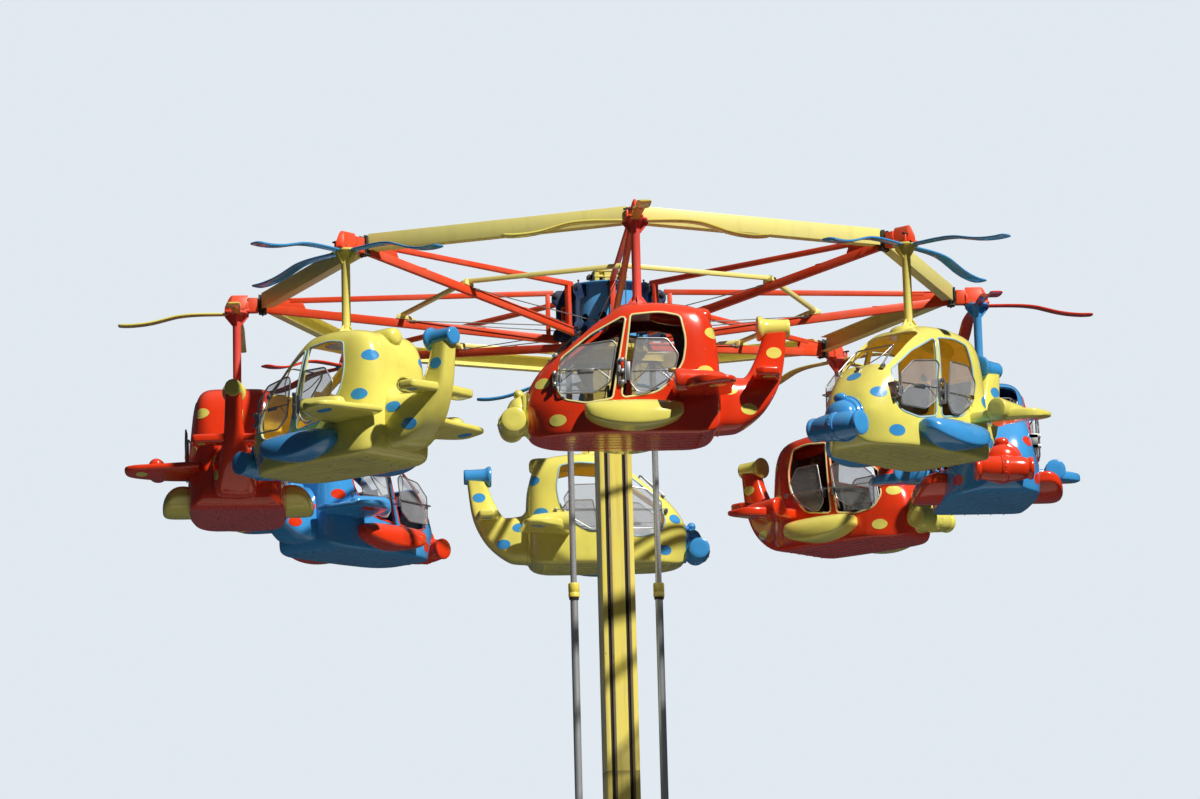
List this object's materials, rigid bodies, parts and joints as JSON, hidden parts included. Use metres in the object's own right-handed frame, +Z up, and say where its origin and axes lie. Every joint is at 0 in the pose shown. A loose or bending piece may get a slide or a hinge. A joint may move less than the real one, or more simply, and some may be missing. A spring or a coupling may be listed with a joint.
{
  "type": "fairground tower ride",
  "caption": "Fairground tower ride with helicopter-shaped gondolas on a turning, lifting ring of arms around a square mast.",
  "frame": {"origin": "on the ground at the middle of the base flange's underside", "axes": "+Z up along the mast; -Y towards gondola 1, the one in front in the picture; +X to the right as seen from there"},
  "size_m": [11.06, 11.06, 11.6],
  "materials": {
    "grey_paint": "satin",
    "mast_yellow": "satin",
    "ram_steel": "satin",
    "ram_chrome": "polished",
    "dark_steel": "satin",
    "hub_blue": "satin",
    "frame_yellow": "satin",
    "arm_red": "satin",
    "red_paint": "satin",
    "yellow_paint": "satin",
    "blue_paint": "satin",
    "red_gelcoat": "gloss",
    "yellow_gelcoat": "gloss",
    "blue_gelcoat": "gloss",
    "gate_tube": "polished"
  },
  "bodies": {
    "fixed": {"base_frame": "grey_paint", "mast": "mast_yellow", "ram_barrel_left": "mast_yellow", "ram_barrel_right": "mast_yellow"},
    "ram_stage_1": {"ram_stage_1_left": "ram_steel", "ram_stage_1_right": "ram_steel"},
    "ram_stage_2": {"ram_stage_2_left": "ram_steel", "ram_stage_2_right": "ram_steel"},
    "lift_carriage": {"carriage": "mast_yellow", "slewing_ring": "dark_steel", "ram_rod_left": "ram_chrome", "ram_rod_right": "ram_chrome"},
    "rotor": {"hub_drum": "hub_blue", "fascia_ring": "frame_yellow", "tie_ring": "frame_yellow", "arm_1": "arm_red", "hanger_1": "red_paint", "cabin_1": "red_gelcoat", "arm_2": "arm_red", "hanger_2": "yellow_paint", "cabin_2": "yellow_gelcoat", "arm_3": "arm_red", "hanger_3": "blue_paint", "cabin_3": "blue_gelcoat", "arm_4": "arm_red", "hanger_4": "red_paint", "cabin_4": "red_gelcoat", "arm_5": "arm_red", "hanger_5": "yellow_paint", "cabin_5": "yellow_gelcoat", "arm_6": "arm_red", "hanger_6": "blue_paint", "cabin_6": "blue_gelcoat", "arm_7": "arm_red", "hanger_7": "red_paint", "cabin_7": "red_gelcoat", "arm_8": "arm_red", "hanger_8": "yellow_paint", "cabin_8": "yellow_gelcoat"},
    "front_gate_1": {"front_gate_1": "gate_tube"},
    "rear_gate_1": {"rear_gate_1": "gate_tube"},
    "front_gate_2": {"front_gate_2": "gate_tube"},
    "rear_gate_2": {"rear_gate_2": "gate_tube"},
    "front_gate_3": {"front_gate_3": "gate_tube"},
    "rear_gate_3": {"rear_gate_3": "gate_tube"},
    "front_gate_4": {"front_gate_4": "gate_tube"},
    "rear_gate_4": {"rear_gate_4": "gate_tube"},
    "front_gate_5": {"front_gate_5": "gate_tube"},
    "rear_gate_5": {"rear_gate_5": "gate_tube"},
    "front_gate_6": {"front_gate_6": "gate_tube"},
    "rear_gate_6": {"rear_gate_6": "gate_tube"},
    "front_gate_7": {"front_gate_7": "gate_tube"},
    "rear_gate_7": {"rear_gate_7": "gate_tube"},
    "front_gate_8": {"front_gate_8": "gate_tube"},
    "rear_gate_8": {"rear_gate_8": "gate_tube"}
  },
  "joints": [
    {"name": "lift", "type": "slide", "parent": "fixed", "child": "lift_carriage", "axis": [0, 0, 1], "range_m": [-7.5, 0]},
    {"name": "ram_stage_1_slide", "type": "slide", "parent": "fixed", "child": "ram_stage_1", "axis": [0, 0, 1], "range_m": [-2.5, 0]},
    {"name": "ram_stage_2_slide", "type": "slide", "parent": "ram_stage_1", "child": "ram_stage_2", "axis": [0, 0, 1], "range_m": [-2.5, 0]},
    {"name": "rotor_turn", "type": "hinge", "parent": "lift_carriage", "child": "rotor", "pos_m": [0, 0, 10.79], "axis": [0, 0, 1], "continuous": true},
    {"name": "front_gate_1_hinge", "type": "hinge", "parent": "rotor", "child": "front_gate_1", "pos_m": [-0.867, -4.686, 9.42], "axis": [0, 0, -1], "range_deg": [0, 100]},
    {"name": "rear_gate_1_hinge", "type": "hinge", "parent": "rotor", "child": "rear_gate_1", "pos_m": [-0.184, -4.767, 9.475], "axis": [0, 0, -1], "range_deg": [0, 100]},
    {"name": "front_gate_2_hinge", "type": "hinge", "parent": "rotor", "child": "front_gate_2", "pos_m": [2.70044, -3.92656, 9.42], "axis": [0, 0, -1], "range_deg": [0, 100]},
    {"name": "rear_gate_2_hinge", "type": "hinge", "parent": "rotor", "child": "rear_gate_2", "pos_m": [3.24067, -3.50089, 9.475], "axis": [0, 0, -1], "range_deg": [0, 100]},
    {"name": "front_gate_3_hinge", "type": "hinge", "parent": "rotor", "child": "front_gate_3", "pos_m": [4.686, -0.867, 9.42], "axis": [0, 0, -1], "range_deg": [0, 100]},
    {"name": "rear_gate_3_hinge", "type": "hinge", "parent": "rotor", "child": "rear_gate_3", "pos_m": [4.767, -0.184, 9.475], "axis": [0, 0, -1], "range_deg": [0, 100]},
    {"name": "front_gate_4_hinge", "type": "hinge", "parent": "rotor", "child": "front_gate_4", "pos_m": [3.92656, 2.70044, 9.42], "axis": [0, 0, -1], "range_deg": [0, 100]},
    {"name": "rear_gate_4_hinge", "type": "hinge", "parent": "rotor", "child": "rear_gate_4", "pos_m": [3.50089, 3.24067, 9.475], "axis": [0, 0, -1], "range_deg": [0, 100]},
    {"name": "front_gate_5_hinge", "type": "hinge", "parent": "rotor", "child": "front_gate_5", "pos_m": [0.867, 4.686, 9.42], "axis": [0, 0, -1], "range_deg": [0, 100]},
    {"name": "rear_gate_5_hinge", "type": "hinge", "parent": "rotor", "child": "rear_gate_5", "pos_m": [0.184, 4.767, 9.475], "axis": [0, 0, -1], "range_deg": [0, 100]},
    {"name": "front_gate_6_hinge", "type": "hinge", "parent": "rotor", "child": "front_gate_6", "pos_m": [-2.70044, 3.92656, 9.42], "axis": [0, 0, -1], "range_deg": [0, 100]},
    {"name": "rear_gate_6_hinge", "type": "hinge", "parent": "rotor", "child": "rear_gate_6", "pos_m": [-3.24067, 3.50089, 9.475], "axis": [0, 0, -1], "range_deg": [0, 100]},
    {"name": "front_gate_7_hinge", "type": "hinge", "parent": "rotor", "child": "front_gate_7", "pos_m": [-4.686, 0.867, 9.42], "axis": [0, 0, -1], "range_deg": [0, 100]},
    {"name": "rear_gate_7_hinge", "type": "hinge", "parent": "rotor", "child": "rear_gate_7", "pos_m": [-4.767, 0.184, 9.475], "axis": [0, 0, -1], "range_deg": [0, 100]},
    {"name": "front_gate_8_hinge", "type": "hinge", "parent": "rotor", "child": "front_gate_8", "pos_m": [-3.92656, -2.70044, 9.42], "axis": [0, 0, -1], "range_deg": [0, 100]},
    {"name": "rear_gate_8_hinge", "type": "hinge", "parent": "rotor", "child": "rear_gate_8", "pos_m": [-3.50089, -3.24067, 9.475], "axis": [0, 0, -1], "range_deg": [0, 100]}
  ],
  "couplings": [
    {"joint": "ram_stage_1_slide", "follows": "lift", "ratio": 0.33333},
    {"joint": "ram_stage_2_slide", "follows": "lift", "ratio": 0.33333}
  ]
}
